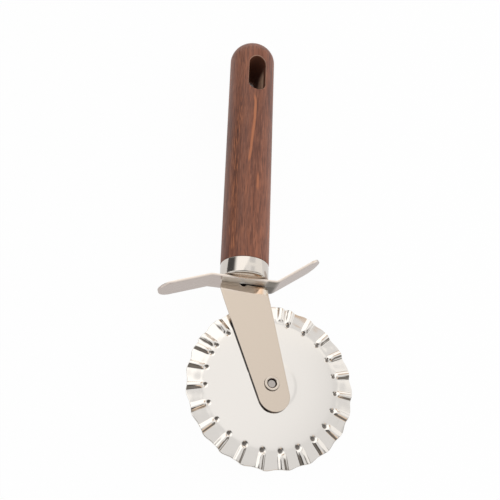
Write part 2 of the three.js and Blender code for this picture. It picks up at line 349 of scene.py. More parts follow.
def dress(piece, node, body, material):
    """Makes a piece stand for a CAD node: its body, finish and smooth shading."""
    piece.data.materials.clear()
    piece.data.materials.append(material)
    piece.data.shade_smooth()
    piece.data.set_sharp_from_angle(angle=SMOOTH_ANGLE)
    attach(piece, body)
    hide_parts(node)


def bent_line(start, heading, segments):
    """A line of straight runs and bends, as a function of the distance along it: place and heading."""

    def at(distance):
        (u, v), angle, left = start, heading, distance
        for run, turn, radius in segments:
            step = min(left, run + abs(turn) * radius)
            if turn:
                signed = copysign(radius, turn)
                bent = angle + step / signed
                u += signed * (sin(bent) - sin(angle))
                v -= signed * (cos(bent) - cos(angle))
                angle = bent
            else:
                u += step * cos(angle)
                v += step * sin(angle)
            left -= step
        return u, v, angle

    return at


def bent_sheet(line, distances, thickness, edges_at, place, across=SHEET_ACROSS, softening=SHEET_EDGE):
    """Bent sheet metal with softened edges, from its line, its two cut edges and a place function."""
    bm = bmesh.new()
    rings = []
    for distance in distances:
        u, v, angle = line(distance)
        out_u = -sin(angle) * thickness / 2
        out_v = cos(angle) * thickness / 2
        low, high = edges_at(distance, v)
        widths = spread(low, high, across)
        ring = [place(u + out_u, v + out_v, w) for w in widths]
        ring += [place(u - out_u, v - out_v, w) for w in reversed(widths)]
        rings.append(ring)
    made = loft(bm, rings)
    for ring in (made[0], made[-1]):
        for i in range(across):
            bm.faces.new([ring[i], ring[i + 1], ring[-2 - i], ring[-1 - i]])
    bmesh.ops.recalc_face_normals(bm, faces=bm.faces)
    sharp = [edge for edge in bm.edges if edge.calc_face_angle(0) > SHARP_ANGLE]
    shape = {"segments": BEVEL_STEPS, "profile": 0.5, "affect": "EDGES", "clamp_overlap": True}
    bmesh.ops.bevel(bm, geom=sharp, offset=softening, **shape)
    return bm


def round_bar(radius, low, high, place):
    """A plain bar that cuts a round hole."""
    bar = turned([(0, low), (radius, low), (radius, high), (0, high)], place, SMALL_STEPS)
    return as_object(bar, "round_bar")


def make_handle():
    profile = [
        (0, TANG_BORE_TOP),
        (TANG_BORE, TANG_BORE_TOP),
        (TANG_BORE, SPIGOT_BOTTOM),
        (SPIGOT_RADIUS - SPIGOT_CHAMFER, SPIGOT_BOTTOM),
        (SPIGOT_RADIUS, SPIGOT_BOTTOM + SPIGOT_CHAMFER),
        (SPIGOT_RADIUS, HANDLE_BOTTOM),
    ]
    edge = HANDLE_RADIUS - HANDLE_EDGE
    low = HANDLE_BOTTOM + HANDLE_EDGE
    profile += arc(edge, low, HANDLE_EDGE, HANDLE_EDGE, -pi / 2, 0, EDGE_STEPS)
    dome_start = HANDLE_TOP - DOME_HEIGHT
    rod = spread(HANDLE_BOTTOM + ROD_ABOVE_EDGE, dome_start - ROD_BELOW_DOME, ROD_STEPS)
    profile += [(HANDLE_RADIUS, y) for y in rod]
    profile += arc(0, dome_start, HANDLE_RADIUS, DOME_HEIGHT, 0, pi / 2, DOME_STEPS)
    profile[-1] = (0, HANDLE_TOP)
    handle = as_object(turned(profile, about_y, ROUND_STEPS), "wood_handle")
    return cut(handle, slot_cutter())


def slot_cutter():
    """A long hole's shape, narrower behind, with a rounded chamfer at the handle's surface."""
    turn = Matrix.Rotation(SLOT_TWIST, 3, "Y")
    top = HANDLE_TOP - SLOT_TO_TOP - SLOT_HALF
    bottom = HANDLE_TOP - SLOT_TO_TOP - SLOT_LENGTH + SLOT_HALF
    outline = []
    for centre, start in ((top, 0), (bottom, pi)):
        for angle in spread(start, start + pi, SLOT_STEPS):
            outline.append((centre, cos(angle), sin(angle)))

    def ring(side, widening, sinking):
        points = []
        for centre, out_x, out_y in outline:
            x = (SLOT_HALF + widening) * out_x
            y = centre + (SLOT_HALF + widening) * out_y
            surface = sqrt(HANDLE_RADIUS**2 - x**2)
            points.append(turn @ Vector((x, y, side * (surface - sinking))))
        return points

    flare = []
    for angle in spread(0, FLARE_TURN, FLARE_STEPS):
        flare.append((SLOT_CHAMFER * (1 - cos(angle)), SLOT_CHAMFER * (1 - sin(angle))))
    flare.append((SLOT_CHAMFER * FLARE_OUT, -SLOT_CHAMFER))
    rings = [ring(-1, widening - SLOT_TAPER, sinking) for widening, sinking in reversed(flare)]
    rings += [ring(1, *step) for step in flare]
    outside = HANDLE_RADIUS + SLOT_HALF
    for end, side in ((0, -1), (len(rings) - 1, 1)):
        flat = [turn.inverted() @ point for point in rings[end]]
        cap = [turn @ Vector((point.x, point.y, side * outside)) for point in flat]
        rings.insert(end if side < 0 else end + 2, cap)
    bm = bmesh.new()
    made = loft(bm, rings)
    bm.faces.new(made[0])
    bm.faces.new(made[-1])
    return as_object(bm, "slot_cutter")


def make_ferrule():
    inside_x = FERRULE_ROLL_IN - FERRULE_WALL
    inside_y = FERRULE_ROLL - FERRULE_WALL
    roll_x = FERRULE_RADIUS - FERRULE_ROLL_IN
    roll_y = FERRULE_BOTTOM + FERRULE_ROLL
    lip = FERRULE_RADIUS - FERRULE_LIP
    profile = [(TANG_BORE, FERRULE_BOTTOM)]
    profile += arc(roll_x, roll_y, FERRULE_ROLL_IN, FERRULE_ROLL, -pi / 2, 0)
    profile += arc(lip, FERRULE_TOP - FERRULE_LIP, FERRULE_LIP, FERRULE_LIP, 0, pi / 2, EDGE_STEPS)
    profile.append((FERRULE_RADIUS - FERRULE_WALL, FERRULE_TOP))
    profile += arc(roll_x, roll_y, inside_x, inside_y, 0, -pi / 2)
    profile += [(TANG_BORE, FERRULE_BOTTOM + FERRULE_WALL), (TANG_BORE, FERRULE_BOTTOM)]
    return as_object(turned(profile, about_y, ROUND_STEPS), "steel_ferrule")


def make_guard():
    def tangent(angle):
        return GUARD_BEND * tan(angle / 2)

    half = GUARD_WIDTH / 2
    low_run = LOW_WING - tangent(LOW_ANGLE)
    raised_run = RAISED_WING - tangent(RAISED_ANGLE)
    flat_run = LOW_CORNER + RAISED_CORNER - tangent(LOW_ANGLE) - tangent(RAISED_ANGLE)
    low_bend = LOW_ANGLE * GUARD_BEND
    raised_bend = RAISED_ANGLE * GUARD_BEND
    length = low_run + low_bend + flat_run + raised_bend + raised_run
    tip = (-LOW_CORNER - LOW_WING * cos(LOW_ANGLE), -LOW_WING * sin(LOW_ANGLE))
    line = bent_line(
        tip,
        LOW_ANGLE,
        [
            (low_run, 0, 0),
            (0, -LOW_ANGLE, GUARD_BEND),
            (flat_run, 0, 0),
            (0, RAISED_ANGLE, GUARD_BEND),
            (raised_run, 0, 0),
        ],
    )

    def edges(distance, _):
        from_tip = min(distance, length - distance, half)
        width = sqrt(half**2 - (half - from_tip) ** 2)
        return -width, width

    tips = [half * (1 - sin(angle)) for angle in spread(ROUND_TIP, 0, TIP_STEPS)]
    raised_start = length - raised_run - raised_bend
    distances = tips + spread(low_run, low_run + low_bend, BEND_STEPS)
    distances += spread(raised_start, raised_start + raised_bend, BEND_STEPS)
    distances += [length - distance for distance in reversed(tips)]
    sheet = bent_sheet(line, distances, GUARD_SHEET, edges, lambda u, v, w: (u, v, w))
    hole = round_bar(GUARD_HOLE, -2 * GUARD_SHEET, 2 * GUARD_SHEET, about_y)
    return cut(as_object(sheet, "steel_guard"), hole)


def plate_edges():
    """The plate's left and right edge at a height: straight at the top, slanted, round at the end."""

    def slant(x, side):
        out = PLATE_END_X - x
        down = BRACKET_CREASE - PLATE_END_Y
        return atan2(out, down) + side * asin(PLATE_END_RADIUS / hypot(out, down))

    left, right = slant(BRACKET_LEFT, -1), slant(BRACKET_RIGHT, 1)

    def edges(y):
        down = max(BRACKET_CREASE - y, 0)
        half = sqrt(max(PLATE_END_RADIUS**2 - (y - PLATE_END_Y) ** 2, 0))
        on_left = y < PLATE_END_Y - PLATE_END_RADIUS * sin(left)
        on_right = y < PLATE_END_Y + PLATE_END_RADIUS * sin(right)
        return (
            PLATE_END_X - half if on_left else BRACKET_LEFT + down * tan(left),
            PLATE_END_X + half if on_right else BRACKET_RIGHT + down * tan(right),
        )

    return edges, left, right


def sharpened(z, y, share):
    """A point of the top bend's outside, moved towards the corner that the bend rounds off."""
    outer = TOP_BEND + BRACKET_SHEET / 2
    centre_y = BRACKET_TOP - outer
    centre_z = BRACKET_TOP_Z - outer * (1 - sin(FLANK)) / cos(FLANK)
    out_z, out_y = z - centre_z, y - centre_y
    distance = hypot(out_z, out_y)
    past_flank = out_y * cos(FLANK) - out_z * sin(FLANK)
    if distance < outer / 2 or out_z < 0 or past_flank < 0:
        return z, y
    facing = max(out_z * cos(FLANK) + out_y * sin(FLANK), out_y) / distance
    reach = 1 + share * (1 / facing - 1)
    return centre_z + out_z * reach, centre_y + out_y * reach


def on_bracket(u, v, width):
    """A point of the bracket's sheet: its crease slopes, and its right corner is rounded out."""
    centre = (BRACKET_LEFT + BRACKET_RIGHT) / 2
    near_crease = max(1 - abs(v - BRACKET_CREASE) / CREASE_REACH, 0)
    up = min(max((v - BRACKET_CREASE) / (BRACKET_TOP - BRACKET_CREASE), 0), 1)
    corner = CORNER_FILL * smooth(CORNER_FROM, CORNER_FULL, width) * up
    corner *= 1 - smooth(*CORNER_ROUNDS, up)
    corner *= 1 - CORNER_BACK * smooth(*CORNER_END, width)
    depth, height = sharpened(-u, v, SHARP_SHARE * (1 - smooth(*SHARP_TO, width)))
    height += CREASE_SLOPE * (width - centre) * near_crease
    opening = TOP_SLOPE * max(width - TOP_OPENS, 0)
    height -= opening * (1 - TOP_CLOSED * smooth(*TOP_CLOSES, width)) * up
    return (width, height, depth + (BRACKET_FRONT - BRACKET_TOP_Z) * corner)


def make_bracket():
    edges_at, left, right = plate_edges()
    middle = BRACKET_SHEET / 2
    top_turn = pi / 2 - FLANK
    crease_cut = CREASE_BEND * tan(FLANK / 2)
    top_cut = TOP_BEND * tan(top_turn / 2)
    lowest = PLATE_END_Y - PLATE_END_RADIUS * sin(ROUND_TIP)
    top_z = BRACKET_TOP_Z - middle * tan(top_turn / 2)
    crease_y = BRACKET_CREASE - middle * tan(FLANK / 2)
    flank_length = hypot(BRACKET_FRONT - middle - top_z, BRACKET_TOP - middle - crease_y)
    plate_run = crease_y - crease_cut - lowest
    crease_run = FLANK * CREASE_BEND
    flank_run = flank_length - crease_cut - top_cut
    top_run = top_turn * TOP_BEND
    line = bent_line(
        (middle - BRACKET_FRONT, lowest),
        pi / 2,
        [
            (plate_run, 0, 0),
            (0, -FLANK, CREASE_BEND),
            (flank_run, 0, 0),
            (0, -top_turn, TOP_BEND),
            (TONGUE_RUN, 0, 0),
        ],
    )
    narrowing = crease_run + flank_run + top_run + TONGUE_RUN
    half = (BRACKET_RIGHT - BRACKET_LEFT) / 2
    centre = (BRACKET_RIGHT + BRACKET_LEFT) / 2

    def edges(distance, y):
        if distance <= plate_run:
            return edges_at(y)
        along = (distance - plate_run) / narrowing
        reach = half * sqrt(max(1 - along**TONGUE_POWER, 0))
        return centre - reach, centre + reach

    angles = spread(-ROUND_TIP, -left, TIP_STEPS) + spread(-left, right, BEND_STEPS)[1:]
    distances = [PLATE_END_Y + PLATE_END_RADIUS * sin(angle) - lowest for angle in angles]
    distances += spread(distances[-1], plate_run, PLATE_STEPS)[1:-1]
    distances += spread(plate_run, plate_run + crease_run, CREASE_STEPS)
    flank_end = plate_run + crease_run + flank_run
    distances += spread(plate_run + crease_run, flank_end, PLATE_STEPS)[1:-1]
    bend_end = flank_end + top_run
    distances += spread(flank_end, bend_end, BEND_STEPS)
    start = asin(((bend_end - plate_run) / narrowing) ** (TONGUE_POWER / 2))
    for angle in spread(start, ROUND_TIP, TIP_STEPS)[1:]:
        distances.append(plate_run + narrowing * sin(angle) ** (2 / TONGUE_POWER))
    sheet = bent_sheet(line, distances, BRACKET_SHEET, edges, on_bracket, PLATE_ACROSS, PLATE_EDGE)
    bracket = as_object(sheet, "steel_bracket")
    axle_hole = round_bar(RIVET_HOLE, 0, 2 * BRACKET_FRONT, about_axle)
    tang_hole = round_bar(TANG_HOLE, BRACKET_CREASE, GUARD_SHEET, about_hole)
    return cut(bracket, axle_hole, tang_hole)


def make_tang():
    profile = [
        (0, TANG_END),
        (TANG_NECK - TANG_CHAMFER, TANG_END),
        (TANG_NECK, TANG_END + TANG_CHAMFER),
        (TANG_NECK, TANG_SHOULDER),
        (TANG_RADIUS, TANG_SHOULDER),
        (TANG_RADIUS, TANG_TAPER),
        (0, TANG_TIP),
    ]
    return as_object(turned(profile, about_y, SMALL_STEPS), "steel_tang")


def flute_angles():
    """The flutes are even around most of the rim and closer together where the crimping ended."""
    return [FIRST_FLUTE + FLUTE_PITCH * flute for flute in range(EVEN_FLUTES)] + ODD_FLUTES


def uneven(flute, amount, turns):
    """A factor about 1 that differs from flute to flute, because they were crimped one by one."""
    return 1 + amount * sin(turns * flute)


def flute_share(angle, flute):
    """The place across a flute, from -1 to 1 at its feet; some flutes have one wide and gentle side."""
    half = FLUTE_HALF * uneven(flute, WIDTH_VARIES, WIDTH_TURNS)
    if angle < flute:
        half *= 1 + WIDE_SIDE * smooth(*WIDE_FROM, flute) * (1 - smooth(*WIDE_TO, flute))
    return (angle - flute) / half


def flute_height(flute):
    """The flutes differ, and those that were crimped last are the steepest."""
    steeper = 1 + STEEPER * smooth(*STEEP_FROM, flute)
    return FLUTE_HEIGHT * uneven(flute, FLUTE_VARIES, FLUTE_TURNS) * steeper


def wheel_stations():
    """Angles around the wheel with the nearest flute's middle, and how far the rim swings out there."""
    flutes = flute_angles()
    full_turn = 2 * pi
    before = [flutes[-1] - full_turn] + flutes[:-1]
    after = flutes[1:] + [flutes[0] + full_turn]
    stations = []
    for previous, flute, following in zip(before, flutes, after):
        low = flute - min(FLUTE_REACH, CLOSEST * (flute - previous))
        reach = min(FLUTE_REACH, CLOSEST * (following - flute))
        for angle in spread(low, flute + reach, FLUTE_STEPS):
            share = (angle - flute) / FLUTE_HALF
            stations.append((angle, flute, -0.5 * max(min(share, 1), -1)))
        for step in range(1, LAND_STEPS):
            along = step / LAND_STEPS
            angle = flute + reach + along * (following - flute - 2 * reach)
            stations.append((angle, flute, along - 0.5))
    return stations


def pit_depth(radius, angle, flute, shift=0.0):
    """The pinch at a flute's inner end, from 0 to 1, steep on one side; the last flute has none."""
    if flute > 2 * pi:
        return 0
    size = 1 + PIT_LARGER * smooth(*LARGER_FROM, flute) * (1 - smooth(*LARGER_TO, flute))
    across = radius * (angle - flute) - shift
    width = PIT_STEEP if across > 0 else PIT_GENTLE
    away = hypot((radius - PIT_AT) / PIT_LENGTH, across / width) / size
    return (1 - away**2) ** 2 if away < 1 else 0


def rim_wave(radius, angle):
    """A faint unevenness of the pressed rim, from -1 to 1."""
    wave = 1
    for turns, outward in zip(WAVE_TURNS, WAVE_OUTWARD):
        wave *= sin(turns * angle + outward * radius)
    return wave


def land_set_back(radius):
    """How far the rim's cone lies behind the disc: none inside, then straight, with a soft start."""
    out = radius - LAND_FROM
    soft = (out + hypot(out, LAND_BLEND)) / 2
    return LAND_SET_BACK * soft / (WHEEL_RADIUS - LAND_FROM)


def wheel_height(radius, angle, flute):
    """The place of the wheel's front face along the axle; the flutes' crests end at one plane."""
    off_boss = smooth(BOSS_RADIUS - BOSS_BLEND / 2, BOSS_RADIUS + BOSS_BLEND / 2, radius)
    height = AXLE_Z + WHEEL_SHEET / 2 + BOSS_RISE * (1 - off_boss)
    out = max(radius - BOSS_RADIUS - BOSS_BLEND, 0)
    if out > 0:
        height -= land_set_back(radius) + WHEEL_DISH * (out / (WHEEL_RADIUS - BOSS_RADIUS)) ** 2
    rise = 1 - flute_share(angle, flute) ** 2
    ridge = (rise + hypot(rise, FLUTE_FOOT)) / 2
    at_rim = smooth(FLUTE_FROM, FLUTE_FULL, radius)
    height += min(flute_height(flute), CREST_Z - height) * ridge * at_rim
    height += RIM_WAVE * rim_wave(radius, angle) * at_rim
    return height - PIT_DEPTH * pit_depth(radius, angle, flute)


def painted_pit_shade(radius, angle, flute):
    """How much painted shade a point of the wheel gets: towards the steep side of the pinches."""
    return smooth(*PIT_SHADE_EDGE, pit_depth(radius, angle, flute, PIT_SHADE_SHIFT))


def make_wheel():
    stations = wheel_stations()
    radii = [WHEEL_BORE, HUB_RING]
    radii += spread(BOSS_RADIUS - BOSS_BLEND / 2, BOSS_RADIUS + BOSS_BLEND / 2, BOSS_STEPS)
    radii += DISC_RINGS
    radii += spread(PIT_AT - PIT_MARGIN * PIT_LENGTH, FLUTE_FULL, PIT_STEPS)
    radii += RIM_RINGS
    rim_steps = [(1 - cos(a), 1 - sin(a)) for a in spread(pi / 2, 0, EDGE_STEPS)]
    rings = []
    # Painted shade for each point of the wheel, towards the steep side of the pinches.
    pit_shade = []
    for radius in radii:
        ring = []
        for angle, flute, swing in stations:
            reach = radius + RIM_SWING * swing * smooth(SWING_FROM, WHEEL_RADIUS, radius)
            ring.append(about_axle(reach, angle, wheel_height(reach, angle, flute)))
        rings.append(ring)
        pit_shade.append([painted_pit_shade(radius, angle, flute) for angle, flute, _ in stations])
    back = [[(x, y, z - WHEEL_SHEET) for x, y, z in ring] for ring in reversed(rings)]
    rim = []
    for face in (1, -1):
        for inward, sink in rim_steps if face > 0 else reversed(rim_steps):
            ring = []
            for angle, flute, swing in stations:
                reach = WHEEL_RADIUS + RIM_SWING * swing
                front = wheel_height(reach, angle, flute)
                middle = front - WHEEL_SHEET / 2
                height = middle + face * (WHEEL_SHEET / 2 - RIM_ROUND * sink)
                ring.append(about_axle(reach - RIM_ROUND * inward, angle, height))
            rim.append(ring)
    bm = bmesh.new()
    layer = bm.verts.layers.float.new("painted_pit_shade")
    made = loft(bm, rings + rim + back + rings[:1])
    for ring, values in zip(made, pit_shade):
        for vert, value in zip(ring, values):
            vert[layer] = value
    bmesh.ops.remove_doubles(bm, verts=bm.verts, dist=WELD)
    return as_object(bm, "crimped_disc")


def make_rivet():
    """A rivet with a domed head behind and a rolled hollow end in front."""
    front = RIVET_SEAT + ROLLED_HEIGHT
    roll = ROLLED_HEIGHT / 2
    profile = arc(0, HEAD_SEAT, RIVET_HEAD_RADIUS, RIVET_HEAD_HEIGHT, -pi / 2, 0)
    profile[0] = (0, HEAD_SEAT - RIVET_HEAD_HEIGHT)
    profile += [(RIVET_RADIUS, HEAD_SEAT), (RIVET_RADIUS, RIVET_SEAT)]
    profile += arc(ROLLED_RADIUS - roll, RIVET_SEAT + roll, roll, roll, -pi / 2, pi / 2)
    profile += arc(RECESS_RADIUS + roll, front - roll, roll, roll, pi / 2, pi, RECESS_STEPS)
    profile += [(RECESS_FLOOR, front - RECESS_DEPTH), (0, front - RECESS_DEPTH)]
    return as_object(turned(profile, about_axle, SMALL_STEPS), "rolled_rivet")


def make_washer():
    edge = WASHER_EDGE
    low = arc(WASHER_RADIUS - edge, WASHER_BACK + edge, edge, edge, -pi / 2, 0, EDGE_STEPS)
    high = arc(WASHER_RADIUS - edge, WASHER_FRONT - edge, edge, edge, 0, pi / 2, EDGE_STEPS)
    inner = [(RIVET_HOLE, WASHER_FRONT), (RIVET_HOLE, WASHER_BACK)]
    return as_object(turned(inner[1:] + low + high + inner, about_axle, SMALL_STEPS), "washer_ring")


def connect(tree, target, inputs):
    """Gives a node its inputs, which are values or other nodes' sockets."""
    for name, value in inputs.items():
        if isinstance(value, bpy.types.NodeSocket):
            tree.links.new(value, target.inputs[name])
        else:
            target.inputs[name].default_value = value


def node(tree, kind, inputs=None, **settings):
    made = tree.nodes.new("ShaderNode" + kind)
    for name, value in settings.items():
        setattr(made, name, value)
    connect(tree, made, inputs or {})
    return made


def math_node(tree, operation, *values):
    return node(tree, "Math", dict(enumerate(values)), operation=operation).outputs[0]


def vector_node(tree, operation, *values):
    made = node(tree, "VectorMath", dict(enumerate(values)), operation=operation)
    return made.outputs["Value" if operation in ("LENGTH", "DOT_PRODUCT") else "Vector"]


def axes_of(tree, vector):
    """A vector's parts by the names of the axes."""
    return dict(zip("XYZ", node(tree, "SeparateXYZ", {0: vector}).outputs))


def turn_about_y(tree, axes):
    """The angle about the Y axis in degrees: 0 in front, more to the right."""
    turn = math_node(tree, "ARCTAN2", axes["X"], axes["Z"])
    return math_node(tree, "MULTIPLY", turn, degrees(1))


def srgb(red, green, blue):
    """A colour as seen on a screen, 0 to 255, as the linear values that a shader takes."""
    linear = []
    for value in (red, green, blue):
        share = value / 255
        linear.append(share / 12.92 if share <= 0.04045 else ((share + 0.055) / 1.055) ** 2.4)
    return (*linear, 1)


def new_material(name):
    material = bpy.data.materials.new(name)
    material.use_nodes = True
    tree = material.node_tree
    return material, tree, tree.nodes["Principled BSDF"]


def tool_space(tree):
    """Coordinates on the piece in millimetres in the tool's own frame."""
    inputs = {
        "Vector": node(tree, "TexCoord").outputs["Object"],
        "Location": tool_origin,
        "Rotation": (0, lean, 0),
        "Scale": (MM, MM, MM),
    }
    return node(tree, "Mapping", inputs, vector_type="TEXTURE").outputs[0]


def from_line(tree, space, point, across):
    """The distance from a line through the point; across is 0 for the axis that the line follows."""
    offset = vector_node(tree, "SUBTRACT", space, point)
    return vector_node(tree, "LENGTH", vector_node(tree, "MULTIPLY", offset, across))


def from_axle(tree, space):
    return from_line(tree, space, (AXLE_X, AXLE_Y, 0), (1, 1, 0))


def from_upright(tree, space, x):
    """The distance from an upright line, such as the handle's middle."""
    return from_line(tree, space, (x, 0, 0), (1, 0, 1))


def stretched_noise(tree, space, stretch, scale, detail, roughness, distortion=0):
    """Noise whose grains are stretched along the axes."""
    inputs = {
        "Vector": vector_node(tree, "MULTIPLY", space, stretch),
        "Scale": scale,
        "Detail": detail,
        "Roughness": roughness,
        "Distortion": distortion,
    }
    return node(tree, "TexNoise", inputs).outputs["Fac"]


def ramp(tree, value, stops):
    """A colour ramp from (place, colour) stops."""
    made = node(tree, "ValToRGB", {"Fac": value})
    elements = made.color_ramp.elements
    while len(elements) < len(stops):
        elements.new(0.5)
    for element, (place, colour) in zip(elements, stops):
        element.position = place
        element.color = colour
    return made.outputs["Color"]


def map_range(tree, value, low, high, to_low=0, to_high=1, interpolation="SMOOTHSTEP"):
    inputs = {"Value": value, "From Min": low, "From Max": high, "To Min": to_low, "To Max": to_high}
    return node(tree, "MapRange", inputs, interpolation_type=interpolation).outputs["Result"]


def region(tree, values, limits):
    """The share within limits, each a value's name, its range and the shares at the range's ends."""
    share = None
    for name, *limit in limits:
        within = map_range(tree, values[name], *limit)
        share = math_node(tree, "MULTIPLY", share, within) if share else within
    return share


def mix(tree, share, first, second):
    """Two colours mixed; these numbers are the places of the node's colour sockets."""
    return node(tree, "Mix", {0: share, 6: first, 7: second}, data_type="RGBA").outputs[2]


def coated(tree, values, colour, coats):
    """The colour under coats, each a region's limits and the coat's own colour."""
    for limits, coat in coats:
        colour = mix(tree, region(tree, values, limits), colour, coat)
    return colour


def bump(tree, height, strength, distance):
    inputs = {"Height": height, "Strength": strength, "Distance": distance * MM}
    return node(tree, "Bump", inputs).outputs["Normal"]


# Light streaks in the wood: (height, angle about the handle in degrees) points, width and strength
LONG_STREAK = [
    (50.5, -12), (52.5, -10.9), (58.7, -6.7), (64.6, -4.2),
    (73.6, -0.3), (82, 0), (87, -4.6),
]
SHORT_STREAK = [(37.5, 13.4), (39, 13), (46, 13), (48, 12.6)]
LEFT_STREAK = [(10, -43), (18, -44), (46, -47), (64, -48), (74, -38), (86, -34)]
STREAKS = [(LONG_STREAK, 0.6, 1.0), (SHORT_STREAK, 0.55, 0.8), (LEFT_STREAK, 1.9, 0.9)]
STREAK_COLOUR = srgb(176, 108, 72)
STREAK_CORE = 0.4
STREAK_FADES = 1.3
STREAK_STARTS = 3
STREAK_STOPS = 4
STREAK_WOBBLE = 1.2
BROAD_STREAK = 1
BROKEN = (0.46, 0.6)
ANGLE_SPAN = 60.0

# Wood: noises stretched along the handle, colours from dark to light, and painted light that makes it
# lighter at the upper left and the lower right
BANDS = dict(stretch=(0.24, 0.02, 0.24), scale=1, detail=3, roughness=0.5, distortion=0.6)
FIBRES = dict(stretch=(1, 0.05, 1), scale=1.7, detail=5, roughness=0.65, distortion=0.2)
DARK_FLECKS = dict(stretch=(2.6, 0.16, 2.6), scale=1, detail=2, roughness=0.5, distortion=0.1)
PALE_FLECKS = dict(stretch=(2.2, 0.13, 2.2), scale=1.3, detail=2, roughness=0.5, distortion=0.08)
FIBRE_SHARE = 0.5
WOOD_COLOURS = [
    (0.36, srgb(86, 46, 32)),
    (0.44, srgb(111, 65, 48)),
    (0.52, srgb(129, 78, 57)),
    (0.59, srgb(145, 88, 63)),
    (0.68, srgb(168, 105, 74)),
]
FLECKS = [
    ([("dark", 0.5, 0.66, 0, 0.6)], srgb(74, 37, 26)),
    ([("pale", 0.54, 0.7, 0, 0.5)], srgb(168, 112, 86)),
]
PAINTED_LIGHT_LEFT = [("Y", 62, 105, 0, 0.075), ("angle", -35, 15, 1, 0)]
PAINTED_LIGHT_RIGHT = [("Y", 35, 65, 0.05, 0), ("angle", -35, -5)]
WOOD_ROUGHNESS = (0.3, 0.7, 0.36, 0.5)
PORE_BUMP = 0.2
PORE_DEPTH = 0.1

# Inside of the slot: painted shade, with painted light on its right wall, and a painted highlight on the
# edge around it
IN_SLOT = [("radius", 8.4, 9.5, 1, 0), ("Y", 107.4, 108.6, 1, 0)]
PAINTED_LIGHT_PATCH = [("Z", -4, 0), ("Z", 4.5, 6, 1, 0), ("X", 1.5, 2.6), ("Y", 98, 104, 1, 0)]
SLOT_EDGE_HIGHLIGHT = [
    ("radius", 9.68, 9.74, 0.7, 0),
    ("radius", 9.2, 9.42),
    ("Y", 20, 22),
    ("Y", 107.6, 108.4, 1, 0),
]
SLOT_SHADE_SHARE = 0.92
SLOT_SHADE_COLOUR = srgb(92, 52, 33)
PAINTED_LIGHT_COLOUR = srgb(236, 200, 170)
SLOT_EDGE_HIGHLIGHT_COLOUR = srgb(206, 168, 146)


def streak(tree, values, wobble, points, width, strength):
    """The share of a light streak that runs through the points, fading at its ends."""
    low, high = points[0][0], points[-1][0]
    along = map_range(tree, values["Y"], low, high, interpolation="LINEAR")
    stops = []
    for place, turn in points:
        grey = 0.5 + turn / (2 * ANGLE_SPAN)
        stops.append(((place - low) / (high - low), (grey, grey, grey, 1)))
    middle = node(tree, "SeparateColor", {0: ramp(tree, along, stops)}).outputs[0]
    middle = math_node(tree, "MULTIPLY_ADD", middle, 2 * ANGLE_SPAN, -ANGLE_SPAN)
    off = math_node(tree, "SUBTRACT", values["angle"], middle)
    off = math_node(tree, "MULTIPLY_ADD", off, radians(HANDLE_RADIUS), wobble)
    limits = [
        ("off", width * STREAK_CORE, width * STREAK_FADES, strength, 0),
        ("Y", low, low + STREAK_STARTS),
        ("Y", high - STREAK_STOPS, high, 1, 0),
    ]
    return region(tree, values | {"off": math_node(tree, "ABSOLUTE", off)}, limits)


def in_slot(tree, values, colour):
    """The wood's colour with painted shade and painted light inside the slot and a painted highlight on
    its edge, and the share that is inside.
    """
    inside = region(tree, values, IN_SLOT)
    patch = region(tree, values, PAINTED_LIGHT_PATCH)
    slot_shade = math_node(tree, "MULTIPLY", inside, map_range(tree, patch, 0, 1, SLOT_SHADE_SHARE, 0))
    colour = mix(tree, slot_shade, colour, SLOT_SHADE_COLOUR)
    # Painted light on the slot's right wall.
    colour = mix(tree, math_node(tree, "MULTIPLY", inside, patch), colour, PAINTED_LIGHT_COLOUR)
    # A painted highlight on the slot's edge.
    return coated(tree, values, colour, [(SLOT_EDGE_HIGHLIGHT, SLOT_EDGE_HIGHLIGHT_COLOUR)]), inside


def wood_material():
    """Oiled dark hardwood: soft bands, fine fibres, short flecks and a few light streaks, with painted
    light on its sides and painted light and shade in its slot.
    """
    material, tree, shader = new_material("dark_wood")
    space = tool_space(tree)
    values = axes_of(tree, space)
    values["angle"] = turn_about_y(tree, values)
    values["radius"] = from_upright(tree, space, 0)
    values["dark"] = stretched_noise(tree, space, **DARK_FLECKS)
    values["pale"] = stretched_noise(tree, space, **PALE_FLECKS)
    fibres = stretched_noise(tree, space, **FIBRES)
    bands = stretched_noise(tree, space, **BANDS)
    bands = math_node(tree, "MULTIPLY", bands, 1 - FIBRE_SHARE)
    grain = math_node(tree, "MULTIPLY_ADD", fibres, FIBRE_SHARE, bands)
    # Painted light: the wood is made lighter at the upper left and the lower right.
    for painted_light in (PAINTED_LIGHT_LEFT, PAINTED_LIGHT_RIGHT):
        grain = math_node(tree, "ADD", grain, region(tree, values, painted_light))
    colour = coated(tree, values, ramp(tree, grain, WOOD_COLOURS), FLECKS)
    wobble = math_node(tree, "MULTIPLY_ADD", fibres, STREAK_WOBBLE, -STREAK_WOBBLE / 2)
    for points, width, strength in STREAKS:
        share = streak(tree, values, wobble, points, width, strength)
        if width > BROAD_STREAK:
            share = math_node(tree, "MULTIPLY", share, map_range(tree, values["pale"], *BROKEN))
        colour = mix(tree, share, colour, STREAK_COLOUR)
    colour, inside = in_slot(tree, values, colour)
    rough = math_node(tree, "MAXIMUM", map_range(tree, fibres, *WOOD_ROUGHNESS), inside)
    pores = bump(tree, values["dark"], PORE_BUMP, PORE_DEPTH)
    connect(tree, shader, {"Base Color": colour, "Roughness": rough, "Normal": pores})
    shader.inputs["Specular IOR Level"].default_value = 0.5
    return material


# Brushed steel: its fine lines, how much their roughness varies, and their depth
BRUSHED_LINES = dict(scale=6, detail=3, roughness=0.6)
BRUSHED_RANGE = (0.3, 0.7)
BRUSHED_VARIES = 0.2
BRUSHED_BUMP = 0.05
BRUSHED_DEPTH = 0.02

# Painted shade on the steel, and the seam between the guard and the bracket, whose painted shade thins
# out to the right
PAINTED_SHADE = srgb(34, 29, 26)
SEAM_THINS = ("X", 4.2, 5.0, 1, 0.4)

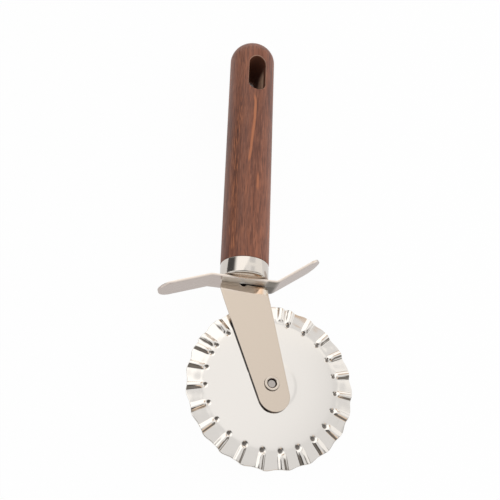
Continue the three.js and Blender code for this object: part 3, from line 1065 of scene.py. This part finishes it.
# Wheel's finish, with painted shade towards the steep side of the pinches
WHEEL_COLOUR = srgb(247, 242, 236)
WHEEL_ROUGHNESS = 0.12
WHEEL_PIT_SHADE = [([("pit_shade", 0, 1, 0, 0.85)], srgb(84, 78, 74))]
PIT_SHADE_ROUGHNESS = (0, 0.6, WHEEL_ROUGHNESS, 0.4)

# Guard's finish: duller above the bracket with a painted warm reflection there, painted shade at the bend
# and in the seam, and a painted highlight at its front edge
GUARD_COLOUR = srgb(208, 196, 189)
GUARD_ROUGHNESS = 0.32
GUARD_BRUSHING = (0.02, 0.02, 1)
GUARD_DULLER = 0.33
UNDERSIDE = ("Y", -0.4, -0.25, 1, 0)
BEND_STARTS = (BRACKET_RIGHT - 1.4, BRACKET_RIGHT - 0.2)
ABOVE_BRACKET = [
    UNDERSIDE,
    ("Z", 0.6, 1.4),
    ("X", BRACKET_LEFT, BRACKET_LEFT + 0.6),
    ("X", *BEND_STARTS, 1, 0),
]
BEND_SHADE = [
    ("X", *BEND_STARTS),
    ("X", RAISED_CORNER - 1, RAISED_CORNER + 3, 1, 0),
    ("Y", -0.1, 0.6, 1, 0),
]
GUARD_SEAM_SHADE = [UNDERSIDE, ("Z", 0.95, 1.2, 1, 0), ("X", -2.4, -2.0), SEAM_THINS]
FRONT_EDGE_HIGHLIGHT = [("facing_z", 0.5, 0.8), ("facing_y", -0.2, 0.12)]
GUARD_LIGHT_AND_SHADE = [
    (ABOVE_BRACKET, srgb(253, 248, 241)),
    (BEND_SHADE, srgb(134, 127, 118)),
    (GUARD_SEAM_SHADE, PAINTED_SHADE),
    (FRONT_EDGE_HIGHLIGHT, srgb(252, 240, 228)),
]

# Bracket's finish: painted light on the fold with a painted highlight at its top and on its lobe, and
# painted shade in the seam, in the hole and on the cut edge and the back over the wheel
BRACKET_COLOUR = srgb(226, 211, 195)
BRACKET_ROUGHNESS = 0.24
FOLD_LIGHT_COLOUR = srgb(230, 219, 208)
FOLD_TOP_HIGHLIGHT = [([("Y", -2.6, -1.2)], srgb(252, 246, 239))]
LOBE_HIGHLIGHT_COLOUR = srgb(240, 205, 174)
LOBE_END_HIGHLIGHT = [([("X", CORNER_FULL, CORNER_END[0])], srgb(255, 246, 232))]
LOBE = [("X", CORNER_FROM, CORNER_FULL)]
BRACKET_SEAM_SHADE = [("Y", -1.1, -0.85), ("X", 0.2, 0.8), SEAM_THINS]
HOLE_WALL_SHADE = [("from_hole", TANG_HOLE + 0.02, TANG_HOLE + 0.1, 1, 0)]
FOLD = [("Y", BRACKET_CREASE - 0.6, BRACKET_CREASE + 0.4)]
OVER_WHEEL_SHADE = [
    ("Z", BRACKET_FRONT - 0.2, BRACKET_FRONT - 0.07, 1, 0),
    ("from_axle", 29, 31.5, 1, 0),
    ("Y", -50, -44, 0.75, 1),
]

# Rivet's finish: painted shade under the rolled edge and in the recess, lighter on the recess's floor
RIVET_COLOUR = srgb(228, 215, 201)
RIVET_ROUGHNESS = 0.2
RIVET_SHADE = srgb(66, 58, 53)
RIVET_SHADE_COATS = [
    ([("radius", ROLLED_RADIUS - 0.16, ROLLED_RADIUS - 0.04)], RIVET_SHADE),
    ([("radius", RECESS_RADIUS - 0.1, RECESS_RADIUS + 0.12, 1, 0)], RIVET_SHADE),
    ([("radius", RECESS_FLOOR - 0.15, RECESS_FLOOR + 0.1, 1, 0)], srgb(190, 182, 176)),
]


def steel_material(name, colour, roughness, brushing=None):
    """Steel, plain or with a brushing of fine lines that are stretched along the tool's axes."""
    material, tree, shader = new_material(name)
    connect(tree, shader, {"Base Color": colour, "Roughness": roughness, "Metallic": 1})
    if brushing:
        lines = stretched_noise(tree, tool_space(tree), brushing, **BRUSHED_LINES)
        least, most = roughness * (1 - BRUSHED_VARIES), roughness * (1 + BRUSHED_VARIES)
        rough = map_range(tree, lines, *BRUSHED_RANGE, least, most)
        normal = bump(tree, lines, BRUSHED_BUMP, BRUSHED_DEPTH)
        connect(tree, shader, {"Roughness": rough, "Normal": normal})
    return material, tree, shader


def wheel_material():
    """Polished steel with painted shade towards the steep side of its pinches, where it is also rougher.
    """
    material, tree, shader = steel_material("wheel_polish", WHEEL_COLOUR, WHEEL_ROUGHNESS)
    pit_shade = node(tree, "Attribute", attribute_name="painted_pit_shade").outputs["Fac"]
    colour = coated(tree, {"pit_shade": pit_shade}, WHEEL_COLOUR, WHEEL_PIT_SHADE)
    rough = map_range(tree, pit_shade, *PIT_SHADE_ROUGHNESS)
    connect(tree, shader, {"Base Color": colour, "Roughness": rough})
    return material


def guard_material():
    """Brushed steel with the guard's coats of painted light and shade."""
    finish = (GUARD_COLOUR, GUARD_ROUGHNESS, GUARD_BRUSHING)
    material, tree, shader = steel_material("guard_brushed", *finish)
    values = axes_of(tree, tool_space(tree))
    facing = axes_of(tree, node(tree, "NewGeometry").outputs["Normal"])
    values |= {"facing_y": facing["Y"], "facing_z": facing["Z"]}
    colour = coated(tree, values, GUARD_COLOUR, GUARD_LIGHT_AND_SHADE)
    brushing = shader.inputs["Roughness"].links[0].from_socket
    above_bracket = region(tree, values, ABOVE_BRACKET)
    duller = math_node(tree, "MULTIPLY_ADD", above_bracket, GUARD_DULLER, brushing)
    connect(tree, shader, {"Base Color": colour, "Roughness": duller})
    return material


def bracket_material():
    """Satin steel, with painted light on the fold, painted highlights at its top and on its lobe, and
    painted shade in the seam, in the hole and behind.
    """
    material, tree, shader = steel_material("bracket_satin", BRACKET_COLOUR, BRACKET_ROUGHNESS)
    space = tool_space(tree)
    values = axes_of(tree, space)
    values["from_axle"] = from_axle(tree, space)
    values["from_hole"] = from_upright(tree, space, TANG_HOLE_X)
    fold = coated(tree, values, FOLD_LIGHT_COLOUR, FOLD_TOP_HIGHLIGHT)
    lobe = coated(tree, values, LOBE_HIGHLIGHT_COLOUR, LOBE_END_HIGHLIGHT)
    fold = coated(tree, values, fold, [(LOBE, lobe), (BRACKET_SEAM_SHADE, PAINTED_SHADE), (HOLE_WALL_SHADE, PAINTED_SHADE)])
    colour = coated(tree, values, BRACKET_COLOUR, [(FOLD, fold), (OVER_WHEEL_SHADE, PAINTED_SHADE)])
    connect(tree, shader, {"Base Color": colour})
    return material


def rivet_material():
    """Bright steel with painted shade under its rolled edge and in its recess."""
    material, tree, shader = steel_material("rivet_bright", RIVET_COLOUR, RIVET_ROUGHNESS)
    radius = from_axle(tree, tool_space(tree))
    colour = coated(tree, {"radius": radius}, RIVET_COLOUR, RIVET_SHADE_COATS)
    connect(tree, shader, {"Base Color": colour})
    return material


wood = wood_material()
ferrule_steel = steel_material("ferrule_polish", srgb(228, 221, 213), 0.1, (1, 0.02, 1))[0]
guard_steel = guard_material()
bracket_steel = bracket_material()
wheel_steel = wheel_material()
rivet_steel = rivet_material()
inner_steel = steel_material("inner_plain", srgb(180, 176, 172), 0.35)[0]
# Painted shade: the tang is near black, for where it shows in the bracket's hole.
tang_shade_steel = steel_material("tang_painted_shade", srgb(30, 25, 22), 0.6)[0]

dress(make_handle(), "handle", BODY, wood)
dress(make_ferrule(), "ferrule", BODY, ferrule_steel)
dress(make_guard(), "finger_guard", BODY, guard_steel)
dress(make_bracket(), "bracket", BODY, bracket_steel)
dress(make_wheel(), "crimped_wheel", WHEEL_BODY, wheel_steel)
dress(make_rivet(), "axle_rivet", BODY, rivet_steel)
dress(make_washer(), "rear_washer", BODY, inner_steel)
dress(make_tang(), "tang", BODY, tang_shade_steel)

sleeve = frame["nodes"]["axle_sleeve"].data
sleeve.materials.clear()
sleeve.materials.append(inner_steel)


# The photograph's camera, in the tool's own frame
CAMERA_AT = Vector((-69.37, -154.52, 332.08))
CAMERA_TARGET = Vector((2.02, 15.41, 0))
CAMERA_UP = Vector((-0.0331, 1, 0))
SENSOR = 36.0
LENS = 67.18
CLIP_START = 0.01
CLIP_END = 20


def make_camera():
    back = (CAMERA_AT - CAMERA_TARGET).normalized()
    right = CAMERA_UP.cross(back).normalized()
    up = back.cross(right)
    turn = Matrix((right, up, back)).transposed().to_4x4()
    data = bpy.data.cameras.new("photo_camera")
    data.sensor_width = SENSOR
    data.lens = LENS
    data.clip_start = CLIP_START
    data.clip_end = CLIP_END
    camera = in_scene("photo_camera", data)
    camera.matrix_world = Matrix.Translation(to_row @ CAMERA_AT) @ Matrix.Rotation(lean, 4, "Y") @ turn
    bpy.context.scene.camera = camera


# Floor: a white table, less white where the handle lies on it, within a half size across and along
FLOOR_SIZE = 3.0
FLOOR_WHITE = 0.86
FLOOR_ROUGHNESS = 0.9
FLOOR_BOOST = 0.97
SHADE_HALF = (0.009, 0.058)
SHADE_ACROSS = (0.3, 1)
SHADE_ALONG = (0.85, 1)
MIRRORED_FLOOR = 0.8

# Studio: a white room. Mirrors show a soft box, a bright strip, a slanted window above, white on the
# right, dark below, a dark wall on the left, the dark photographer and two warm things. Directions and
# the limits of what is seen are in the tool's own frame
WORLD_LIGHT = 0.66
ROOM_GREY = 0.74
SOFT_BOX = Vector((0.1, 0.34, 0.935))
BOX_SPREAD = radians(17)
BOX_WHITE = 0.92
WINDOW_SLANT = -0.8
BRIGHT_THINGS = [
    ([("Y", 0.36, 0.4), ("Y", 0.445, 0.475, 1, 0)], (0.97, 0.96, 0.94, 1)),
    ([("slant", 0.36, 0.5)], (1.2, 1.19, 1.17, 1)),
    ([("X", 0.5, 0.64), ("Y", 0.2, 0.3)], (0.96, 0.95, 0.93, 1)),
]
LOW_RIGHT = [("X", 0.58, 0.72), ("Y", 0.16, 0.26, 1, 0)]
LOW_ALL = [("Y", -0.34, -0.2, 1, 0)]
IN_FRONT = (0.25, 0.5)
LOW_COLOUR = (0.16, 0.145, 0.13, 1)
WARM_THINGS = [
    (Vector((0.27, -0.45, 0.85)), radians(8), radians(16), srgb(226, 204, 182)),
    (Vector((0.36, 0.78, 0.51)), radians(9), radians(15), srgb(205, 182, 160)),
]
WALL = [("sideways", -66, -44, 1, 0), ("Y", 0.55, 0.8, 0.95, 0), ("Y", 0.12, 0.26)]
WALL_COLOUR = (0.012, 0.01, 0.01, 1)
PERSON_COLOUR = (0.04, 0.036, 0.034, 1)
PHOTOGRAPHER = [
    (Vector((-0.3, -0.2, 0.933)), radians(7), radians(13), PERSON_COLOUR),
    (Vector((-0.05, -0.33, 0.94)), radians(7), radians(13), PERSON_COLOUR),
]
KEY_AT = Vector((0.85, 0.1, 0.6))
KEY_SIZE = 0.6
KEY_POWER = 4.5


def seen_directly(tree):
    """1 for camera, mirror and glass rays, 0 for the rays that light the object."""
    path = node(tree, "LightPath").outputs
    shown = math_node(tree, "MAXIMUM", path["Is Camera Ray"], path["Is Glossy Ray"])
    return math_node(tree, "MAXIMUM", shown, path["Is Transmission Ray"])


def make_floor():
    """A table that looks white, except in the shadow where the handle lies on it."""
    under_handle = to_row @ Vector((0, (HANDLE_BOTTOM + HANDLE_TOP) / 2, 0))
    bm = bmesh.new()
    bmesh.ops.create_grid(bm, x_segments=1, y_segments=1, size=FLOOR_SIZE)
    floor = mesh_object(bm, "floor")
    material, tree, shader = new_material("white_table")
    white = (FLOOR_WHITE, FLOOR_WHITE, FLOOR_WHITE, 1)
    connect(tree, shader, {"Base Color": white, "Roughness": FLOOR_ROUGHNESS, "Specular IOR Level": 0})
    mirrored = node(tree, "LightPath").outputs["Is Glossy Ray"]
    level = map_range(tree, mirrored, 0, 1, 1, MIRRORED_FLOOR)
    glow = node(tree, "Emission", {"Color": level, "Strength": 1.0}).outputs[0]
    place = node(tree, "TexCoord").outputs["Object"]
    offset = vector_node(tree, "SUBTRACT", place, under_handle)
    offset = vector_node(tree, "MULTIPLY", offset, (1 / SHADE_HALF[0], 1 / SHADE_HALF[1], 0))
    away = axes_of(tree, vector_node(tree, "ABSOLUTE", offset))
    across = map_range(tree, away["X"], *SHADE_ACROSS, 0, FLOOR_BOOST)
    along = map_range(tree, away["Y"], *SHADE_ALONG, 0, FLOOR_BOOST)
    boost = math_node(tree, "MAXIMUM", across, along)
    share = math_node(tree, "MULTIPLY", seen_directly(tree), boost)
    both = node(tree, "MixShader", {0: share, 1: shader.outputs[0], 2: glow}).outputs[0]
    tree.links.new(both, tree.nodes["Material Output"].inputs["Surface"])
    floor.data.materials.append(material)


def towards(tree, direction, aim, full, fades):
    """1 within the angle full of the aim, 0 beyond the angle fades."""
    along = vector_node(tree, "DOT_PRODUCT", direction, aim.normalized())
    return map_range(tree, along, cos(fades), cos(full))


def with_things(tree, direction, room, things):
    """The room with round things in it, each with its direction, its two angles and its colour."""
    for aim, full, fades, colour in things:
        room = mix(tree, towards(tree, direction, aim, full, fades), room, colour)
    return room


def room_colour(tree):
    """What a mirror on the tool shows in each direction."""
    generated = node(tree, "TexCoord").outputs["Generated"]
    inputs = {"Vector": generated, "Angle": -lean}
    direction = node(tree, "VectorRotate", inputs, rotation_type="Y_AXIS").outputs[0]
    values = axes_of(tree, direction)
    values["sideways"] = turn_about_y(tree, values)
    values["slant"] = math_node(tree, "MULTIPLY_ADD", values["X"], WINDOW_SLANT, values["Y"])
    box = map_range(tree, towards(tree, direction, SOFT_BOX, 0, BOX_SPREAD), 0, 1, ROOM_GREY, BOX_WHITE)
    room = node(tree, "CombineXYZ", {0: box, 1: box, 2: box}).outputs[0]
    room = coated(tree, values, room, BRIGHT_THINGS)
    low = math_node(tree, "MAXIMUM", region(tree, values, LOW_RIGHT), region(tree, values, LOW_ALL))
    low = math_node(tree, "MULTIPLY", low, map_range(tree, values["Z"], *IN_FRONT))
    room = with_things(tree, direction, mix(tree, low, room, LOW_COLOUR), WARM_THINGS)
    room = coated(tree, values, room, [(WALL, WALL_COLOUR)])
    return with_things(tree, direction, room, PHOTOGRAPHER)


def make_world():
    """A white room for the light; only mirrors show what is in it."""
    world = bpy.data.worlds.new("studio")
    bpy.context.scene.world = world
    world.use_nodes = True
    tree = world.node_tree
    path = node(tree, "LightPath").outputs
    white = (1, 1, 1, 1)
    backgrounds = []
    for colour, strength in ((room_colour(tree), 1), (white, WORLD_LIGHT), (white, 1)):
        inputs = {"Color": colour, "Strength": strength}
        backgrounds.append(node(tree, "Background", inputs).outputs[0])
    mirror, light, seen = backgrounds
    lit = node(tree, "MixShader", {0: path["Is Glossy Ray"], 1: light, 2: mirror}).outputs[0]
    both = node(tree, "MixShader", {0: path["Is Camera Ray"], 1: lit, 2: seen}).outputs[0]
    tree.links.new(both, tree.nodes["World Output"].inputs["Surface"])


def make_key():
    data = bpy.data.lights.new("soft_key", "AREA")
    data.size = KEY_SIZE
    data.energy = KEY_POWER
    lamp = in_scene("soft_key", data)
    lamp.matrix_world = Matrix.Translation(KEY_AT) @ KEY_AT.to_track_quat("Z", "Y").to_matrix().to_4x4()
    lamp.visible_glossy = False


make_camera()
make_floor()
make_world()
make_key()
bpy.context.scene.view_settings.view_transform = "Standard"
